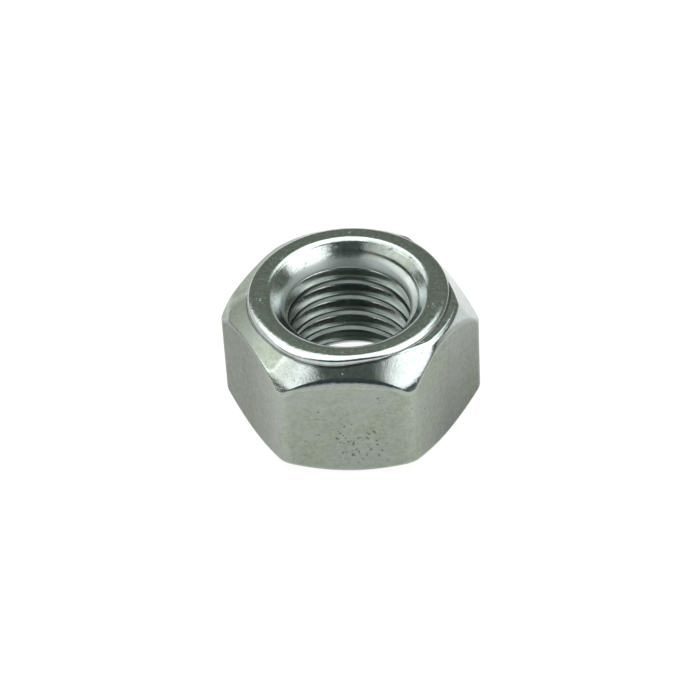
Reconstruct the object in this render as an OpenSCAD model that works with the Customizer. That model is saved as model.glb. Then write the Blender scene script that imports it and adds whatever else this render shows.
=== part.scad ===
// One-piece all-metal hexagon lock nut, M10 x 1.5, right-hand thread.
// The bearing face lies on z = 0, the thread axis is Z, and a pressed flat faces -Y.
// Sizes are in millimetres.

/* [Hexagon] */
// Width across the flats
across_flats = 16; // [15.6:0.1:16.4]
// Height from the bearing face to the top of the rim
nut_height = 10; // [9.7:0.1:10.3]
// Radius of the six upright corner edges
corner_radius = 1.1; // [0.8:0.1:1.6]

/* [Bearing face] */
// Diameter of the flat ring that bears on the joint
bearing_diameter = 15.1; // [14.6:0.1:15.6]
// Slope of the chamfer around the bearing face, in degrees from that face
bearing_slope = 33; // [20:1:40]
// Diameter of the countersink where it opens on the bearing face
entry_diameter = 11.2; // [10.6:0.1:11.4]

/* [Thread] */
// Nominal thread diameter
thread_diameter = 10; // [9.8:0.1:10]
// Thread pitch
thread_pitch = 1.5; // [1.25:0.25:1.5]
// Diameter inside the thread's crests
minor_diameter = 8.6; // [8.4:0.05:8.65]
// Straight pieces in one turn of the thread groove
thread_steps = 20; // [16:4:32]
// Angle at which the thread groove starts, below the bearing face
thread_start = 82; // [80:1:86]

/* [Rim] */
// Outer diameter of the raised rim
rim_diameter = 14; // [13.8:0.1:14.3]
// Radius of the rounded outer edge of the rim
rim_radius = 0.4; // [0.3:0.05:0.6]
// Diameter of the countersink where it opens on the rim
mouth_diameter = 10.9; // [10.6:0.1:11.5]
// Radius of the rounded edge between the rim and its countersink
mouth_radius = 0.35; // [0.2:0.05:0.5]

/* [Crown] */
// Height of the crown around the rim
crown_height = 9.75; // [9.65:0.05:9.85]
// Diameter of the crown where its top edge begins to round over
crown_flat_diameter = 15; // [14.8:0.1:15.2]
// Radius of the rounded top edge of the crown
crown_radius = 0.4; // [0.3:0.05:0.5]
// Slope of the crown above the corners, in degrees
crown_slope = 57; // [54:1:60]

/* [Pressed facets] */
// Height at which the front facet meets the middle of its flat
front_facet_height = 8.7; // [8.4:0.05:9]
// Height at which the rear right facet meets the middle of its flat
rear_right_facet_height = 8.1; // [8:0.05:8.4]
// Height at which the back facet meets the middle of its flat
back_facet_height = 8.9; // [8.6:0.05:9.1]
// Height at which the rear left facet meets the middle of its flat
rear_left_facet_height = 8.8; // [8.5:0.05:9]
// Height at which the front left facet meets the middle of its flat
front_left_facet_height = 8.8; // [8.5:0.05:9]
// Slope of a facet, in degrees from the bearing face
facet_slope = 40; // [36:1:44]
// Slope of the deeper rear right facet
deep_facet_slope = 56; // [52:1:58]
// Radius of a facet across its width
facet_radius = 15.5; // [15:0.5:20]

/* [Hidden] */
$fn = 100;
sides = 6;
half_side_angle = 180 / sides;
spill = 1;
press_reach = 3;
flat_r = across_flats / 2;
corner_centre_r = (flat_r - corner_radius) / cos(half_side_angle);
corner_r = corner_centre_r + corner_radius;
bearing_r = bearing_diameter / 2;
entry_r = entry_diameter / 2;
mouth_r = mouth_diameter / 2;
thread_r = thread_diameter / 2;
flank_angle = 30;
groove_overlap = 0.3;
minor_r = minor_diameter / 2;
// Turns of the thread groove beyond each end of the nut
groove_run_out = 0.75;
arc_steps = 10;

// Points on an arc about centre, from one angle to another
function arc(centre, radius, from, to) = [
    for (i = [0:arc_steps]) centre + radius
        * [cos(from + (to - from) * i / arc_steps), sin(from + (to - from) * i / arc_steps)]
];

// The crown's rounded edge, and the point where it meets the crown cone
crown_centre = [crown_flat_diameter / 2, crown_height - crown_radius];
crown_angle = 90 - crown_slope;
crown_start = crown_centre + crown_radius * [cos(crown_angle), sin(crown_angle)];
crown_outer_r = corner_r + spill;

// Outline of the turned surface that trims the hexagon, from the axis to the axis
turned_outline = concat(
    [[0, 0], [bearing_r, 0],
     [crown_outer_r, (crown_outer_r - bearing_r) * tan(bearing_slope)],
     [crown_outer_r, crown_start[1] - (crown_outer_r - crown_start[0]) * tan(crown_slope)]],
    arc(crown_centre, crown_radius, crown_angle, 90),
    [[0, crown_height]]
);

// Outline of the round rim that stands above the pressed facets
rim_centre = [rim_diameter / 2 - rim_radius, nut_height - rim_radius];
rim_foot = nut_height / 2;
rim_outline = concat(
    [[0, rim_foot], [rim_diameter / 2, rim_foot]],
    arc(rim_centre, rim_radius, 0, 90),
    [[0, nut_height]]
);

// Half profile of the bore: countersink, minor diameter, countersink, rounded mouth
mouth_centre = [mouth_r + mouth_radius, nut_height - mouth_radius];
mouth_start = mouth_centre + mouth_radius * [cos(225), -sin(225)];
bore_outline = concat(
    [[0, -spill], [entry_r, -spill], [entry_r, 0],
     [minor_r, entry_r - minor_r],
     [minor_r, mouth_start[1] - (mouth_start[0] - minor_r)]],
    arc(mouth_centre, mouth_radius, 135, 90),
    [[mouth_centre[0], nut_height + spill], [0, nut_height + spill]]
);

// Hexagon with a flat facing -Y, and an arc of 60 degrees at each corner
module rounded_hexagon() {
    polygon([for (i = [0:sides - 1])
        let (corner = 60 * i - 60)
        each arc(corner_centre_r * [cos(corner), sin(corner)], corner_radius,
            corner - half_side_angle, corner + half_side_angle)]);
}

// What one pressing takes off the crown: all that lies outside a large tilted cylinder
module pressed_off(edge_height, slope = facet_slope) {
    translate([0, -flat_r, edge_height])
        rotate([slope - 90, 0, 0])
            linear_extrude(flat_r, center = true)
                difference() {
                    square([2 * crown_outer_r, 2 * press_reach], center = true);
                    translate([0, facet_radius]) circle(r = facet_radius, $fn = 180);
                }
}

module pressed_body() {
    difference() {
        intersection() {
            linear_extrude(nut_height) rounded_hexagon();
            rotate_extrude() polygon(turned_outline);
        }
        pressed_off(front_facet_height);
        rotate(120) pressed_off(rear_right_facet_height, deep_facet_slope);
        rotate(180) pressed_off(back_facet_height);
        rotate(240) pressed_off(rear_left_facet_height);
        rotate(300) pressed_off(front_left_facet_height);
    }
}

module thread_groove() {
    root_half = thread_pitch / 16;  // half of the flat at the root of a metric thread
    inner_r = minor_r - groove_overlap;
    inner_half = root_half + (thread_r - inner_r) * tan(flank_angle);
    section = [[inner_r, -inner_half], [thread_r, -root_half], [thread_r, root_half],
               [inner_r, inner_half]];
    turns = nut_height / thread_pitch + 2 * groove_run_out;
    rings = ceil(turns * thread_steps);
    points = [for (i = [0:rings], p = section)
        let (a = i * 360 / thread_steps + thread_start)
        [p[0] * cos(a), p[0] * sin(a), p[1] + (i / thread_steps - groove_run_out) * thread_pitch]];
    walls = [for (i = [0:rings - 1], j = [0:3], triangle = [0, 1])
        let (a = 4 * i + j, b = 4 * i + (j + 1) % 4)
        triangle == 0 ? [a, b, b + 4] : [a, b + 4, a + 4]];
    polyhedron(points, concat(walls, [[3, 2, 1, 0], [for (j = [0:3]) 4 * rings + j]]));
}

module nut_body() {
    color("#9da79a")
    difference() {
        union() {
            pressed_body();
            rotate_extrude() polygon(rim_outline);
        }
        rotate_extrude() polygon(bore_outline);
        thread_groove();
    }
}

nut_body();
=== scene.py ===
"""One-piece all-metal hexagon lock nut, zinc plated, on a pale studio floor."""

import math

import bpy
import numpy as np
from mathutils import Matrix, Vector


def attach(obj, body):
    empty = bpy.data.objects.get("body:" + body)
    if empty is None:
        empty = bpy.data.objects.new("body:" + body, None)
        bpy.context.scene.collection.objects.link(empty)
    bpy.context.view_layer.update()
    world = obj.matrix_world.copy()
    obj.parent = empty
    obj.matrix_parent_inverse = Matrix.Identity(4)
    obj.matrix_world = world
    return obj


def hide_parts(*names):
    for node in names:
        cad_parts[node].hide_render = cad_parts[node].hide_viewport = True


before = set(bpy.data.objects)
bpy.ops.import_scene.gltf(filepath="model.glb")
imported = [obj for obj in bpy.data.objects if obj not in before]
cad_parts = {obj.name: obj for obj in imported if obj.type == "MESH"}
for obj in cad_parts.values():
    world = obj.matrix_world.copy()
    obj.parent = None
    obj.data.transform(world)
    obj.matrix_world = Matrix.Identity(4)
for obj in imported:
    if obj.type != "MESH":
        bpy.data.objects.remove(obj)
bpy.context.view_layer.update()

MM = 0.001

# ---------------------------------------------------------------- sizes, in millimetres
FLAT_R = 8.0
CORNER_RADIUS = 1.1
HEIGHT = 10.0
BEARING_R = 7.55
BEARING_SLOPE = math.radians(33)
ENTRY_R = 5.6
MOUTH_CONE = 4.345            # height at which the mouth's 45 degree cone would come to a point
RIM_FLAT_R = 6.5
RIM_ROUND = 1.0
RIM_SIDE_R = 7.04             # where the rim's dome ends and its steep side begins
RIM_SIDE_SLOPE = math.radians(80)
# swells of the rim: direction, how far it stands out (or back, below zero), width in degrees
RIM_SWELLS = [(-120, 0.17, 15), (-80, -0.15, 12)]
CROWN_TOP = 9.75
CROWN_SLOPE = math.radians(57)
CROWN_POINT = (7.835, 9.568)  # a point on the crown cone, as radius and height
# facets: direction, height at its flat, slope, radius across its width
FACETS = [
    (-90, 8.70, 40, 15.0),
    (30, 8.1, 56, 18.0),
    (90, 8.9, 38, 16.0),
    (150, 8.8, 38, 16.0),
    (210, 8.8, 38, 16.0),
]
WAVE_HEIGHT = 0.012           # unevenness of the flats and facets
RIM_WAVE_HEIGHT = 0.03

# Roundings of the edges; where two slopes meet at a blunt angle they reach farther than this
CREASE_ROUND = 0.07
CROWN_TOP_ROUND = 0.2
RIM_EDGE_ROUND = 0.07
RIM_FILLET = 0.05
MOUTH_ROUND = 0.20
ENTRY_ROUND = 0.1
CHAMFER_ROUND = 0.15
FOOT_ROUND = 0.04
SIDE_EDGE_ROUND = 0.06        # between a flat and the crown
FRONT_EDGE_ROUND = 0.30       # added to that above the front flat

PITCH = 1.5
MAJOR_R = 5.0
MINOR_R = 4.3
LEAD_IN = (8.40, 0.635)       # height at which the steep lead-in leaves the thread, and its slope
THREAD_TURN = 82.0            # angle at which the groove's centre passes z = -0.75 pitch
THREAD_SOFT = 0.07
LEAD_IN_SOFT = 0.04
MOUTH_SOFT = 0.05

PAINTED_SHADE_TOP = 8.0                # height at which the flats' painted shade is all that of their upper ends

# ---------------------------------------------------------------- how finely the mesh is cut
AZIMUTHS = 660
CORNER_CROWDING = 0.07
SECTION_POINTS = 230
ROWS_PER_PITCH = 26
WALL_BOTTOM = 0.33            # the bore's own mesh runs from here up to WALL_TOP
WALL_TOP = 9.45
ROW_GAP = 0.01                # a row that comes nearer than this to either end is folded into it
RAY_START = (5.9, 4.6)        # radius and height of a point in the wall that sees the whole outline
RAY_REACH = 7.5
RAY_HALVINGS = 20


# ---------------------------------------------------------------- shape functions
def round_max(a, b, radius):
    """Intersection of two solids, its edge rounded."""
    return np.minimum(np.maximum(a, b), -radius) + np.hypot(
        np.maximum(a + radius, 0), np.maximum(b + radius, 0))


def round_min(a, b, radius):
    """Union of two solids, with a fillet where they meet."""
    return np.maximum(np.minimum(a, b), radius) - np.hypot(
        np.maximum(radius - a, 0), np.maximum(radius - b, 0))


def waves(x, y, z, seed, scale):
    """A smooth, repeatable unevenness between about -1 and 1."""
    total = 0
    for k in range(4):
        a = seed * 12.9898 + k * 78.233
        fx, fy, fz = (math.sin(a) * 2.1, math.sin(a * 1.7 + 1) * 2.1, math.sin(a * 2.3 + 2) * 2.1)
        total = total + np.sin((fx * x + fy * y + fz * z) / scale * (1 + 0.35 * k) + a)
    return total / 2.8


def hexagon(x, y, apothem):
    """Distance to a hexagon with flats facing -Y and +Y."""
    kx, ky, kz = -math.sqrt(3) / 2, 0.5, 1 / math.sqrt(3)
    px, py = np.abs(x), np.abs(y)
    fold = 2 * np.minimum(kx * px + ky * py, 0)
    px, py = px - fold * kx, py - fold * ky
    px = px - np.clip(px, -kz * apothem, kz * apothem)
    py = py - apothem
    return np.hypot(px, py) * np.sign(py)


def turned_away(x, y, facing):
    """Angle in degrees between a point's direction from the axis and one that faces `facing`."""
    a = np.degrees(np.arctan2(y, x)) - facing
    return (a + 180) % 360 - 180


def prism(x, y, z):
    body = hexagon(x, y, FLAT_R - CORNER_RADIUS) - CORNER_RADIUS
    return body - WAVE_HEIGHT * waves(x, y, z, 1.0, 3.0)


def crown(x, y, z):
    """The cone above the corners, cut by the pressed facets."""
    r = np.hypot(x, y)
    surface = ((r - CROWN_POINT[0]) * math.sin(CROWN_SLOPE)
               + (z - CROWN_POINT[1]) * math.cos(CROWN_SLOPE))
    surface = round_max(surface, z - CROWN_TOP, CROWN_TOP_ROUND)
    for facing, height, slope, radius in FACETS:
        a, s = math.radians(facing), math.radians(slope)
        outward = x * math.cos(a) + y * math.sin(a)
        across = -x * math.sin(a) + y * math.cos(a)
        above = (outward - FLAT_R) * math.sin(s) + (z - height) * math.cos(s)
        facet = np.hypot(above + radius, across) - radius
        facet = facet + WAVE_HEIGHT * waves(x, y, z, facing, 2.2)
        surface = round_max(surface, facet, CREASE_ROUND)
    return surface


def rim(x, y, z):
    """The raised ring: a dome with a steep side, slightly out of round."""
    r = np.hypot(x, y)
    swell = RIM_WAVE_HEIGHT * waves(x, y, 0, 7.0, 6.0)
    for facing, height, width in RIM_SWELLS:
        swell = swell + height * np.exp(-(turned_away(x, y, facing) / width) ** 2)
    r = r - swell * np.clip((r - RIM_FLAT_R) / (RIM_SIDE_R - RIM_FLAT_R), 0, 1.1)
    centre_z = HEIGHT - RIM_ROUND
    dome = np.hypot(np.maximum(r - RIM_FLAT_R, 0), np.maximum(z - centre_z, 0)) - RIM_ROUND
    side_z = centre_z + math.sqrt(RIM_ROUND ** 2 - (RIM_SIDE_R - RIM_FLAT_R) ** 2)
    side = ((r - RIM_SIDE_R) * math.sin(RIM_SIDE_SLOPE)
            + (z - side_z) * math.cos(RIM_SIDE_SLOPE))
    return round_max(dome, side, RIM_EDGE_ROUND)


def outer_solid(x, y, z):
    """Below zero inside the nut, its threads left out."""
    r = np.hypot(x, y)
    front = np.exp(-(turned_away(x, y, -90) / 24) ** 4)
    body = round_max(prism(x, y, z), crown(x, y, z), SIDE_EDGE_ROUND + FRONT_EDGE_ROUND * front)
    body = round_min(body, rim(x, y, z), RIM_FILLET)
    chamfer = (r - BEARING_R) * math.sin(BEARING_SLOPE) - z * math.cos(BEARING_SLOPE)
    body = round_max(body, chamfer, CHAMFER_ROUND)
    body = round_max(body, -z, FOOT_ROUND)
    mouth = (z - MOUTH_CONE - r) * math.sqrt(0.5)
    body = round_max(body, mouth, MOUTH_ROUND)
    entry = (ENTRY_R - z - r) * math.sqrt(0.5)
    return round_max(body, entry, ENTRY_ROUND)


def curvature(x, y, z, step=0.12):
    """Above zero on a convex edge and below zero in a fillet, in 1/mm."""
    total = -6 * outer_solid(x, y, z)
    for axis in range(3):
        for sign in (-step, step):
            p = [x, y, z]
            p[axis] = p[axis] + sign
            total = total + outer_solid(*p)
    return total / step ** 2


def soft_max(a, b, softness):
    """The larger of two values, with no crease where they cross."""
    return b + np.logaddexp(0, (a - b) / softness) * softness


def inner_radius(angle, z):
    """Radius of the bore's wall: a right-hand thread that runs out into the two countersinks."""
    turn = z / PITCH - (angle - math.radians(THREAD_TURN)) / (2 * math.pi) + 0.75
    along = np.abs((turn + 0.5) % 1 - 0.5) * PITCH
    flank = MAJOR_R - (along - PITCH / 16) * math.sqrt(3)
    wall = -soft_max(-flank, -MAJOR_R, THREAD_SOFT)
    wall = soft_max(wall, MINOR_R, THREAD_SOFT)
    wall = soft_max(MINOR_R + (z - LEAD_IN[0]) * LEAD_IN[1], wall, LEAD_IN_SOFT)
    wall = soft_max(z - MOUTH_CONE, wall, MOUTH_SOFT)
    return soft_max(ENTRY_R - z, wall, THREAD_SOFT)


# ---------------------------------------------------------------- the nut's mesh
def azimuths():
    """Angles round the nut, closer together at the corners."""
    t = np.linspace(0, 2 * math.pi, AZIMUTHS, endpoint=False)
    return t - CORNER_CROWDING * np.sin(6 * t)


def spread_along(weight, r, z, count):
    """The same outline with `count` points, spaced so that each gap has the same share of weight."""
    reach = np.hstack([np.zeros((len(r), 1)), np.cumsum(weight, axis=1)])
    out = np.empty((2, len(r), count))
    share = np.linspace(0, 1, count)
    for i in range(len(r)):
        out[0, i] = np.interp(share * reach[i, -1], reach[i], r[i])
        out[1, i] = np.interp(share * reach[i, -1], reach[i], z[i])
    return out


def ray_directions():
    """Angles of the rays in a section, closer together over the crown and the rim."""
    start = math.atan2(WALL_BOTTOM - RAY_START[1], ENTRY_R - WALL_BOTTOM - RAY_START[0])
    stop = math.atan2(WALL_TOP - RAY_START[1], WALL_TOP - MOUTH_CONE - RAY_START[0])
    crown_from, crown_to = math.radians(56), math.radians(84)
    return np.concatenate([
        np.linspace(start, crown_from, 420, endpoint=False),
        np.linspace(crown_from, crown_to, 220, endpoint=False),
        np.linspace(crown_to, stop, 160),
    ])


def crowding(r, z):
    """Weight of each gap along an outline: its length, and more where the outline bends."""
    step_r, step_z = np.diff(r, axis=1), np.diff(z, axis=1)
    length = np.hypot(step_r, step_z)
    heading = np.unwrap(np.arctan2(step_z, step_r), axis=1)
    bend = np.pad(np.abs(np.diff(heading, axis=1)), ((0, 0), (0, 1)))
    kernel = np.hanning(25)
    kernel /= kernel.sum()
    weight = length + np.minimum(bend, 0.2)
    return np.stack([np.convolve(row, kernel, "same") for row in weight]) + 0.1 * length


def outer_section(angle):
    """The outside of the nut from the bottom of the bore's wall round to its top, for each angle."""
    directions = ray_directions()
    c, s = np.cos(angle)[:, None], np.sin(angle)[:, None]
    dr, dz = np.cos(directions)[None, :], np.sin(directions)[None, :]
    near = np.zeros((len(angle), len(directions)))
    far = np.full_like(near, RAY_REACH)
    for _ in range(RAY_HALVINGS):
        middle = (near + far) / 2
        r, z = RAY_START[0] + middle * dr, RAY_START[1] + middle * dz
        inside = outer_solid(r * c, r * s, z) < 0
        near = np.where(inside, middle, near)
        far = np.where(inside, far, middle)
    r, z = RAY_START[0] + near * dr, RAY_START[1] + near * dz
    r, z = spread_along(crowding(r, z), r, z, SECTION_POINTS)
    r[:, 0], z[:, 0] = inner_radius(angle, WALL_BOTTOM), WALL_BOTTOM
    r[:, -1], z[:, -1] = inner_radius(angle, WALL_TOP), WALL_TOP
    return r, z


def quads(a, b, c, d):
    """Faces from four arrays of vertex numbers; a face that has lost a corner becomes a triangle."""
    faces = np.stack([a, b, c, d], -1).reshape(-1, 4)
    same = faces == np.roll(faces, -1, axis=1)
    whole = faces[~same.any(axis=1)]
    three = faces[same.sum(axis=1) == 1]
    keep = ~same[same.sum(axis=1) == 1]
    return whole.tolist() + three[keep].reshape(-1, 3).tolist()


def nut_surface():
    """Points in millimetres, faces, and the number of points that aren't in the bore."""
    angle = azimuths()
    out_r, out_z = outer_section(angle)
    outer_ids = np.arange(out_r.size).reshape(out_r.shape)

    # The bore's rows climb with the thread, and those past either end are folded into it
    n = ROWS_PER_PITCH
    rows = int(math.ceil((WALL_TOP - WALL_BOTTOM) / PITCH * n)) + n + 1
    climb = PITCH * angle / (2 * math.pi)
    z = WALL_BOTTOM - PITCH + PITCH * np.arange(rows)[None, :] / n + climb[:, None]
    inner = (z > WALL_BOTTOM + ROW_GAP) & (z < WALL_TOP - ROW_GAP)
    wall = inner_radius(np.broadcast_to(angle[:, None], z.shape), z)
    inner_ids = np.where(z < (WALL_BOTTOM + WALL_TOP) / 2, outer_ids[:, :1], outer_ids[:, -1:])
    inner_ids[inner] = out_r.size + np.arange(inner.sum())

    radius = np.concatenate([out_r.ravel(), wall[inner]])
    height = np.concatenate([out_z.ravel(), z[inner]])
    turn = np.concatenate([np.repeat(angle, out_r.shape[1]),
                           np.broadcast_to(angle[:, None], z.shape)[inner]])
    points = np.stack([radius * np.cos(turn), radius * np.sin(turn), height], -1)

    following = np.roll(outer_ids, -1, axis=0)
    faces = quads(outer_ids[:, :-1], following[:, :-1], following[:, 1:], outer_ids[:, 1:])
    following = np.roll(inner_ids, -1, axis=0)
    following[-1] = np.append(inner_ids[0, n:], np.repeat(outer_ids[0, -1], n))
    faces += quads(inner_ids[:, 1:], following[:, 1:], following[:, :-1], inner_ids[:, :-1])
    return points, faces, out_r.size


def paint_light_and_shade(x, y, z, satin_crown):
    """Painted light and shade on the satin plating: lightest high on the front flat, a painted
    highlight along the corners, painted shade low down and on the side flats, one lighter level on
    the satin crown.
    """
    facing = turned_away(x, y, -90)
    bearings = [-62, -28, 28, 60]
    low = np.interp(facing, bearings, [0.62, 0.92, 0.92, 0.45])
    high = np.interp(facing, bearings, [0.64, 1.07, 1.07, 0.88])
    light_and_shade = low + (high - low) * np.clip(z / PAINTED_SHADE_TOP, 0, 1)
    to_corner = (np.degrees(np.arctan2(y, x)) + 30) % 60 - 30
    light_and_shade = light_and_shade * (1 + 0.15 * np.exp(-(to_corner / 3.0) ** 2))
    return np.where(satin_crown > 0.5, 1.15, light_and_shade)


def finish_masks(points, bore_from):
    """What the material reads at each point; those from number `bore_from` on are in the bore."""
    x, y, z = points.T
    r = np.hypot(x, y)
    flat = np.clip((prism(x, y, z) + 0.16) / 0.14, 0, 1)
    flat[bore_from:] = 0
    edge = curvature(x, y, z)
    edge[bore_from:] = 0
    bore = np.clip((np.where(z < 2, 5.8, 4.95) - r) / 0.3, 0, 1)
    # Depth below the mouth: the bore is painted darker with it as painted shade, and made less rough
    depth = np.clip((8.5 - z) / 0.7, 0, 1)

    # A dull stretch of the upper countersink
    dull = np.clip((26 - np.abs(turned_away(x, y, 56))) / 8, 0, 0.75)
    flat = np.maximum(flat, dull * (r < 5.7) * (r > 4.6) * (z > 8.5))

    # The satin plating also covers the crown on the left and round the back
    satin_crown = 1 - np.clip((np.abs(turned_away(x, y, 165)) - 69) / 12, 0, 1)
    satin_crown = satin_crown * np.clip((r - 7.15) / 0.1, 0, 1) * (flat < 0.5)
    flat = np.maximum(flat, satin_crown)
    # The last entry is painted light and shade for the satin plating
    return {"flat": flat, "edge": edge, "bore": bore, "depth": depth,
            "light_and_shade": paint_light_and_shade(x, y, z, satin_crown)}


def build_nut():
    points, faces, bore_from = nut_surface()
    mesh = bpy.data.meshes.new("nut")
    mesh.from_pydata((points * MM).tolist(), [], faces)
    mesh.polygons.foreach_set("use_smooth", [True] * len(mesh.polygons))
    for name, values in finish_masks(points, bore_from).items():
        layer = mesh.attributes.new(name, "FLOAT", "POINT")
        layer.data.foreach_set("value", values.astype(np.float32))
    mesh.update()
    nut = bpy.data.objects.new("nut", mesh)
    bpy.context.collection.objects.link(nut)
    return nut


# ---------------------------------------------------------------- materials
class Nodes:
    """Short names for making and linking the nodes of a material or a world."""

    def __init__(self, owner):
        owner.use_nodes = True
        self.tree = owner.node_tree
        self.tree.nodes.clear()

    def add(self, kind, **values):
        node = self.tree.nodes.new(kind)
        for key, value in values.items():
            setattr(node, key, value)
        return node

    def feed(self, socket, value):
        """Sets an input socket, or links it when the value is another node's output."""
        if isinstance(value, bpy.types.NodeSocket):
            self.tree.links.new(value, socket)
        else:
            socket.default_value = value

    def math(self, operation, a, b=0.0, clamp=False):
        node = self.add("ShaderNodeMath", operation=operation, use_clamp=clamp)
        self.feed(node.inputs[0], a)
        self.feed(node.inputs[1], b)
        return node.outputs[0]

    def plus(self, a, b):
        return self.math("ADD", a, b)

    def minus(self, a, b):
        return self.math("SUBTRACT", a, b)

    def times(self, a, b):
        return self.math("MULTIPLY", a, b)

    def rescale(self, value, low, high, to_low=0.0, to_high=1.0):
        """Moves a value from one span to another, eased at both ends."""
        node = self.add("ShaderNodeMapRange", interpolation_type="SMOOTHSTEP")
        for socket, v in zip(node.inputs, (value, low, high, to_low, to_high)):
            self.feed(socket, v)
        return node.outputs[0]

    def mix(self, factor, a, b):
        node = self.add("ShaderNodeMix", data_type="RGBA")
        self.feed(node.inputs[0], factor)
        self.feed(node.inputs[6], a)
        self.feed(node.inputs[7], b)
        return node.outputs[2]

    def noise(self, where, scale, detail=2.0, rough=0.5, twist=0.0, output="Fac"):
        node = self.add("ShaderNodeTexNoise")
        self.feed(node.inputs["Vector"], where)
        node.inputs["Scale"].default_value = scale
        node.inputs["Detail"].default_value = detail
        node.inputs["Roughness"].default_value = rough
        node.inputs["Distortion"].default_value = twist
        return node.outputs[output]

    def spots(self, where, scale):
        """Distance to the nearest of many scattered points."""
        node = self.add("ShaderNodeTexVoronoi")
        self.feed(node.inputs["Vector"], where)
        node.inputs["Scale"].default_value = scale
        return node.outputs["Distance"]

    def vector(self, operation, a, b):
        node = self.add("ShaderNodeVectorMath", operation=operation)
        self.feed(node.inputs[0], a)
        self.feed(node.inputs[1], b)
        return node.outputs["Value" if operation in ("DISTANCE", "DOT_PRODUCT") else "Vector"]

    def scaled(self, vector, factor):
        node = self.add("ShaderNodeVectorMath", operation="SCALE")
        self.feed(node.inputs[0], vector)
        self.feed(node.inputs["Scale"], factor)
        return node.outputs["Vector"]

    def height_of(self, vector):
        node = self.add("ShaderNodeSeparateXYZ")
        self.feed(node.inputs[0], vector)
        return node.outputs["Z"]

    def place(self, kind):
        return self.add("ShaderNodeTexCoord").outputs[kind]

    def attribute(self, name):
        return self.add("ShaderNodeAttribute", attribute_name=name).outputs["Fac"]


def grey(level, tint):
    return tuple(level * t for t in tint) + (1,)


OLIVE = (0.93, 1.05, 0.85)    # tint of the satin plating, its warm cast partly a painted reflection of a warm floor
SHADED_BORE_TINT = (0.90, 1.04, 0.97)     # tint of the painted shade inside the bore
COOL = (0.94, 1.02, 1.0)      # tint of the worn, shinier plating
PIT_PATCH = (0.9, -8.0, 3.2)  # middle of the patch of pits on the front flat, in millimetres
NICK = (-2.1, -8.0, 5.3)      # middle of the short nick above it


def pit_mask(n, mm, flat):
    """Pits: a scatter everywhere, and a patch of them low on the front flat."""
    near = n.rescale(n.vector("DISTANCE", mm, PIT_PATCH), 1.4, 2.9, 1, 0)
    bare = n.rescale(n.noise(mm, 0.9, 2), 0.56, 0.70)
    many = n.math("MAXIMUM", near, n.times(bare, 0.8))
    size = n.times(many, n.rescale(n.noise(mm, 3.1, 1), 0.38, 0.64, 0.0, 0.36))
    ragged = n.vector("ADD", mm, n.scaled(n.noise(mm, 7.0, output="Color"), 0.25))
    pits = n.rescale(n.minus(n.spots(ragged, 3.4), size), -0.07, 0.09, 1, 0)
    pits = n.times(pits, n.rescale(size, 0.02, 0.10))
    return n.times(pits, n.rescale(flat, 0, 1, 0.3, 1))


def scratch_mask(n, mm, flat, mottle):
    """Scratches on the flats: thin lines, seen only where a second noise lets them through."""
    stretched = n.vector("MULTIPLY", mm, (0.35, 0.35, 5.5))
    line = n.math("ABSOLUTE", n.minus(n.noise(stretched, 1.3, 1, 0.5, 0.6), 0.5))
    scratch = n.times(n.rescale(line, 0.0, 0.012, 1, 0), n.rescale(n.noise(mm, 0.8, 2), 0.58, 0.66))
    wander = n.times(n.minus(mottle, 0.5), 0.5)
    above = n.plus(n.minus(n.height_of(mm), NICK[2]), wander)
    nick = n.rescale(n.math("ABSOLUTE", above), 0.01, 0.07, 1, 0)
    nick = n.times(nick, n.rescale(n.vector("DISTANCE", mm, NICK), 0.5, 0.9, 1, 0))
    return n.math("MAXIMUM", n.times(scratch, flat), nick)


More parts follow.
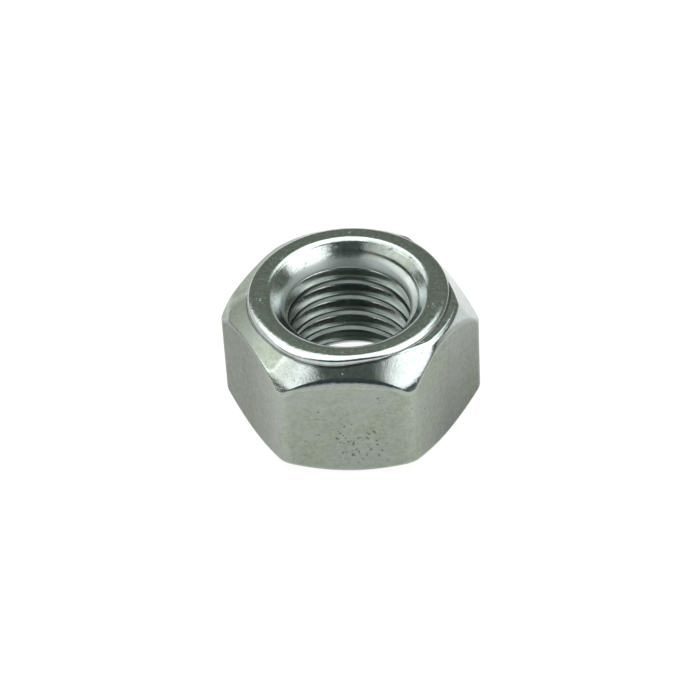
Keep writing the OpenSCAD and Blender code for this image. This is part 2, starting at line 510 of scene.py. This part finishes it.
def zinc():
    """Zinc plating: satin on the flats, shinier on the crown and rim; painted light and shade on the
    flats, and painted shade darkening the bore.
    """
    material = bpy.data.materials.new("zinc_plated_steel")
    n = Nodes(material)
    mm = n.scaled(n.place("Object"), 1 / MM)
    flat, edge, bore = n.attribute("flat"), n.attribute("edge"), n.attribute("bore")
    depth, light_and_shade = n.attribute("depth"), n.attribute("light_and_shade")
    clouds = n.noise(mm, 0.45, 3, 0.6)
    mottle = n.noise(mm, 3.2, 5, 0.68)
    grain = n.noise(mm, 9.0, 3, 0.6)
    fine = n.noise(mm, 26.0, 2, 0.6)
    pits = pit_mask(n, mm, flat)
    scratch = scratch_mask(n, mm, flat, mottle)
    worn = n.rescale(n.plus(edge, n.times(grain, 1.2)), 1.1, 3.4)
    # Darker in the fillets and hollow creases, broken up by grain
    hollow_darkening = n.rescale(n.plus(edge, n.times(grain, 0.8)), -1.4, 0.2, 1, 0)

    satin = n.mix(n.rescale(mottle, 0.32, 0.68), grey(0.275, OLIVE), grey(0.345, OLIVE))
    satin = n.mix(n.rescale(clouds, 0.35, 0.65, 0, 0.5), satin, grey(0.35, COOL))
    satin = n.mix(n.rescale(grain, 0.56, 0.74, 0, 0.5), satin, grey(0.44, COOL))
    satin = n.mix(n.rescale(n.noise(mm, 12.0, 3, 0.7), 0.54, 0.70, 0, 0.6), satin, grey(0.18, COOL))
    shiny = n.mix(n.rescale(mottle, 0.3, 0.7), grey(0.48, COOL), grey(0.60, COOL))
    shiny = n.mix(n.rescale(grain, 0.60, 0.72, 0, 0.5), shiny, grey(0.34, COOL))
    inside = n.mix(n.rescale(clouds, 0.35, 0.65), grey(0.20, SHADED_BORE_TINT), grey(0.28, SHADED_BORE_TINT))
    # The satin colour scaled by its painted light and shade
    colour = n.mix(flat, shiny, n.scaled(satin, light_and_shade))
    # The bore: a painted lighter band near the mouth, painted shade deeper down
    colour = n.mix(bore, colour, n.mix(depth, grey(0.62, COOL), inside))
    colour = n.mix(n.times(worn, 0.25), colour, grey(0.52, COOL))
    # Fillets and hollow creases darkened
    colour = n.mix(n.times(hollow_darkening, 0.6), colour, grey(0.10, COOL))
    colour = n.mix(n.times(pits, 0.7), colour, grey(0.13, COOL))
    colour = n.mix(n.times(scratch, 0.45), colour, grey(0.20, COOL))

    satin_rough = n.rescale(mottle, 0.3, 0.7, 0.44, 0.36)
    shiny_rough = n.rescale(n.plus(mottle, n.times(fine, 0.5)), 0.5, 1.0, 0.10, 0.17)
    bore_rough = n.minus(0.30, n.times(depth, 0.20))
    rough = n.plus(n.times(flat, satin_rough), n.times(n.minus(1.0, flat), shiny_rough))
    rough = n.plus(rough, n.times(bore, bore_rough))
    rough = n.plus(rough, n.times(pits, 0.2))
    rough = n.math("SUBTRACT", rough, n.times(worn, n.times(flat, 0.12)), clamp=True)

    height = n.plus(n.times(mottle, 0.008), n.times(grain, 0.006))
    height = n.times(height, n.minus(1.0, n.times(bore, 0.7)))
    height = n.plus(height, n.times(fine, 0.0012))
    height = n.minus(height, n.times(pits, 0.03))
    height = n.minus(height, n.times(scratch, 0.008))
    bump = n.add("ShaderNodeBump")
    bump.inputs["Strength"].default_value = 1.0
    bump.inputs["Distance"].default_value = MM
    n.feed(bump.inputs["Height"], height)

    shader = n.add("ShaderNodeBsdfPrincipled")
    shader.inputs["Metallic"].default_value = 1.0
    n.feed(shader.inputs["Base Color"], colour)
    n.feed(shader.inputs["Roughness"], rough)
    n.feed(shader.inputs["Normal"], bump.outputs[0])
    n.feed(n.add("ShaderNodeOutputMaterial").inputs[0], shader.outputs[0])
    return material


def floor_material():
    """Pale, and lit from within like a light table."""
    material = bpy.data.materials.new("floor")
    n = Nodes(material)
    shader = n.add("ShaderNodeBsdfPrincipled")
    shader.inputs["Base Color"].default_value = (0.12, 0.12, 0.118, 1)
    shader.inputs["Roughness"].default_value = 0.9
    shader.inputs["Emission Color"].default_value = (1.0, 1.0, 0.99, 1)
    shader.inputs["Emission Strength"].default_value = 0.92
    n.feed(n.add("ShaderNodeOutputMaterial").inputs[0], shader.outputs[0])
    return material


nut = build_nut()
nut.data.materials.append(zinc())
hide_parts("nut_body")
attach(nut, "root")

# ---------------------------------------------------------------- floor, in metres
FLOOR_RADIUS = 2.5
FLOOR_BELOW = 0.00002         # keeps the floor clear of the bearing face
bpy.ops.mesh.primitive_circle_add(
    vertices=96, radius=FLOOR_RADIUS, fill_type="NGON", location=(0, 0, -FLOOR_BELOW))
floor = bpy.context.object
floor.name = "floor"
floor.data.materials.append(floor_material())

# ---------------------------------------------------------------- camera and light
TARGET = Vector((0, 0, 0.0048))
CAMERA_TURN = math.radians(4.245)
CAMERA_RISE = math.radians(42.771)
CAMERA_ROLL = math.radians(-3.24)
CAMERA_AWAY = 0.240           # metres from the target
CAMERA_LENS = 173.9           # millimetres, on a 36 mm sensor
CAMERA_SHIFT = (-0.00203, -0.00545)  # shares of the picture's width
LIGHT_AWAY = 0.6              # metres from the target


def direction(turn_deg, rise_deg):
    """Unit vector from the nut, turned to the right of the camera's side and raised."""
    a = math.radians(turn_deg) + CAMERA_TURN
    e = math.radians(rise_deg)
    return Vector((math.sin(a) * math.cos(e), -math.cos(a) * math.cos(e), math.sin(e)))


def softbox(name, turn, rise, wide, high, radiance, colour=(1, 1, 1)):
    """A rectangular light that spans the angles wide and high, seen from the nut."""
    data = bpy.data.lights.new(name, "AREA")
    data.shape = "RECTANGLE"
    data.size = 2 * LIGHT_AWAY * math.tan(math.radians(wide / 2))
    data.size_y = 2 * LIGHT_AWAY * math.tan(math.radians(high / 2))
    data.color = colour
    data.energy = radiance * math.pi * data.size * data.size_y
    light = bpy.data.objects.new(name, data)
    bpy.context.collection.objects.link(light)
    d = direction(turn, rise)
    light.location = TARGET + d * LIGHT_AWAY
    light.rotation_euler = d.to_track_quat("Z", "Y").to_euler()


def studio_world():
    """Dim room, darkest behind the camera, with a pale band at the horizon and below it."""
    world = bpy.data.worlds.new("studio")
    n = Nodes(world)
    looking = n.place("Generated")
    behind_nut = n.vector("DOT_PRODUCT", looking, direction(180, 35))
    room = n.mix(n.rescale(behind_nut, -0.6, 0.9), (0.045, 0.062, 0.066, 1), (0.20, 0.22, 0.18, 1))
    room = n.mix(n.rescale(n.height_of(looking), 0.07, 0.17), (0.94, 0.94, 0.93, 1), room)
    background = n.add("ShaderNodeBackground")
    n.feed(background.inputs["Color"], room)
    n.feed(n.add("ShaderNodeOutputWorld").inputs[0], background.outputs[0])
    return world


def photo_camera():
    """The camera, at the photograph's viewing angle."""
    data = bpy.data.cameras.new("camera")
    data.sensor_width = 36
    data.lens = CAMERA_LENS
    data.shift_x, data.shift_y = CAMERA_SHIFT
    data.clip_start, data.clip_end = 0.01, 20
    camera = bpy.data.objects.new("camera", data)
    bpy.context.collection.objects.link(camera)
    back = direction(0, math.degrees(CAMERA_RISE))
    side = Vector((math.cos(CAMERA_TURN), math.sin(CAMERA_TURN), 0))
    up = back.cross(side)
    rolled_side = side * math.cos(CAMERA_ROLL) + up * math.sin(CAMERA_ROLL)
    rolled_up = up * math.cos(CAMERA_ROLL) - side * math.sin(CAMERA_ROLL)
    place = Matrix((rolled_side, rolled_up, back)).transposed().to_4x4()
    place.translation = TARGET + back * CAMERA_AWAY
    camera.matrix_world = place
    return camera


softbox("right_box", 66, 42, 50, 32, 1.9)
softbox("left_box", -70, 40, 50, 28, 1.7)
softbox("top_box", 180, 77, 60, 48, 2.1, colour=(0.94, 1.0, 0.985))
softbox("left_back_box", -113, 42, 46, 44, 1.2)
softbox("right_high_box", 100, 52, 26, 28, 1.2)
bpy.context.scene.world = studio_world()
bpy.context.scene.camera = photo_camera()
bpy.context.scene.view_settings.view_transform = "Standard"
